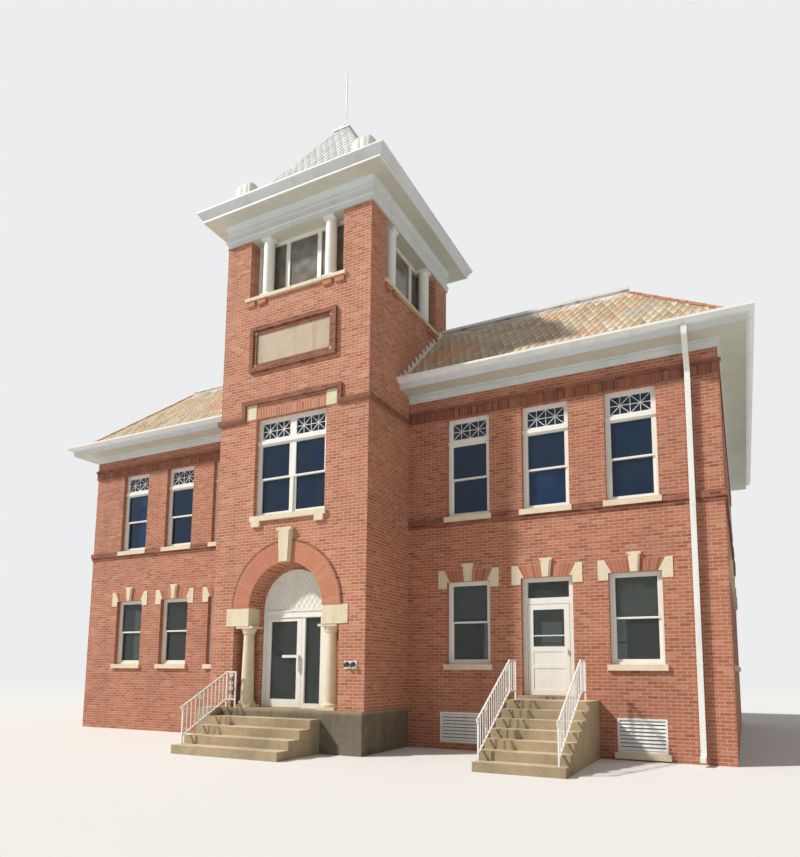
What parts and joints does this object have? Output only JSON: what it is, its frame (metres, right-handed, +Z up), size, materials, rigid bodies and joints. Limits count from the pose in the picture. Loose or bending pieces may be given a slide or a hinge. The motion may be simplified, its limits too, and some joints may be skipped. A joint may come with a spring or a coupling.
{
  "type": "town hall building",
  "caption": "Brick town hall with two storeys, a hipped slate roof, and a square entrance tower with an open-glazed belfry.",
  "frame": {"origin": "on the floor under the tower, on its centre line, in the plane of the wings' front walls", "axes": "+X along the front to the right as seen from the front, +Y into the building, +Z up"},
  "size_m": [19.144, 15.852, 18.11],
  "materials": {
    "brick_wing": "red brick in tan mortar",
    "brick_tower": "orange-red brick in tan mortar",
    "limestone": "weathered cream limestone",
    "concrete": "weathered concrete",
    "slate": "mottled tan and grey slates",
    "tower_shingles": "shingled roof",
    "painted_metal": "white painted sheet metal",
    "painted_iron": "white painted iron",
    "painted_wood": "white paint",
    "floor_boards": "worn boards",
    "window_glass": "clear"
  },
  "bodies": {
    "building": {"left_front_wall": "brick_wing", "right_front_inner_wall": "brick_wing", "right_front_outer_wall": "brick_wing", "side_door_wall": "brick_wing", "left_side_wall": "brick_wing", "right_side_wall": "brick_wing", "rear_wall": "brick_wing", "left_entrance_pier": "brick_tower", "right_entrance_pier": "brick_tower", "entrance_arch_wall": "brick_tower", "tower_front_wall": "brick_tower", "tower_left_wall": "brick_tower", "tower_right_wall": "brick_tower", "tower_rear_wall": "brick_tower", "brick_bands": "brick_tower", "tower_brick_trim": "brick_tower", "window_sills": "limestone", "lintel_stones": "limestone", "entrance_stones": "limestone", "stone_plaque": "limestone", "entrance_columns": "limestone", "tower_base": "concrete", "main_steps": "concrete", "side_steps": "concrete", "roof_front_slopes": "slate", "roof_side_slopes": "slate", "roof_rear_slope": "slate", "tower_roof": "tower_shingles", "gutters": "painted_metal", "downspout": "painted_metal", "tower_flashing": "painted_metal", "roof_deck": "painted_metal", "roof_finial": "painted_metal", "basement_vents": "painted_metal", "wall_lamp": "painted_metal", "main_railing": "painted_iron", "side_left_railing": "painted_iron", "side_right_railing": "painted_iron", "main_cornice": "painted_wood", "tower_cornice": "painted_wood", "entrance_door_frame": "painted_wood", "side_door_frame": "painted_wood", "front_window_frames": "painted_wood", "side_and_rear_window_frames": "painted_wood", "belfry_window_frames": "painted_wood", "belfry_columns": "painted_wood", "ground_floor": "floor_boards", "upper_floor": "floor_boards", "attic_floor": "floor_boards", "belfry_floor": "floor_boards", "front_window_glass": "window_glass", "side_and_rear_window_glass": "window_glass", "belfry_glass": "window_glass", "doorway_glass": "window_glass"},
    "main_door_leaf": {"main_door": "painted_wood", "main_door_glass": "window_glass"},
    "side_door_leaf": {"side_door": "painted_wood", "side_door_glass": "window_glass"}
  },
  "joints": [
    {"name": "main_door_hinge", "type": "hinge", "parent": "building", "child": "main_door_leaf", "pos_m": [-0.784, -1.534, 0.89], "axis": [0, 0, -1], "range_deg": [0, 90]},
    {"name": "side_door_hinge", "type": "hinge", "parent": "building", "child": "side_door_leaf", "pos_m": [4.926, 0.111, 1.22], "axis": [0, 0, -1], "range_deg": [0, 90]}
  ]
}
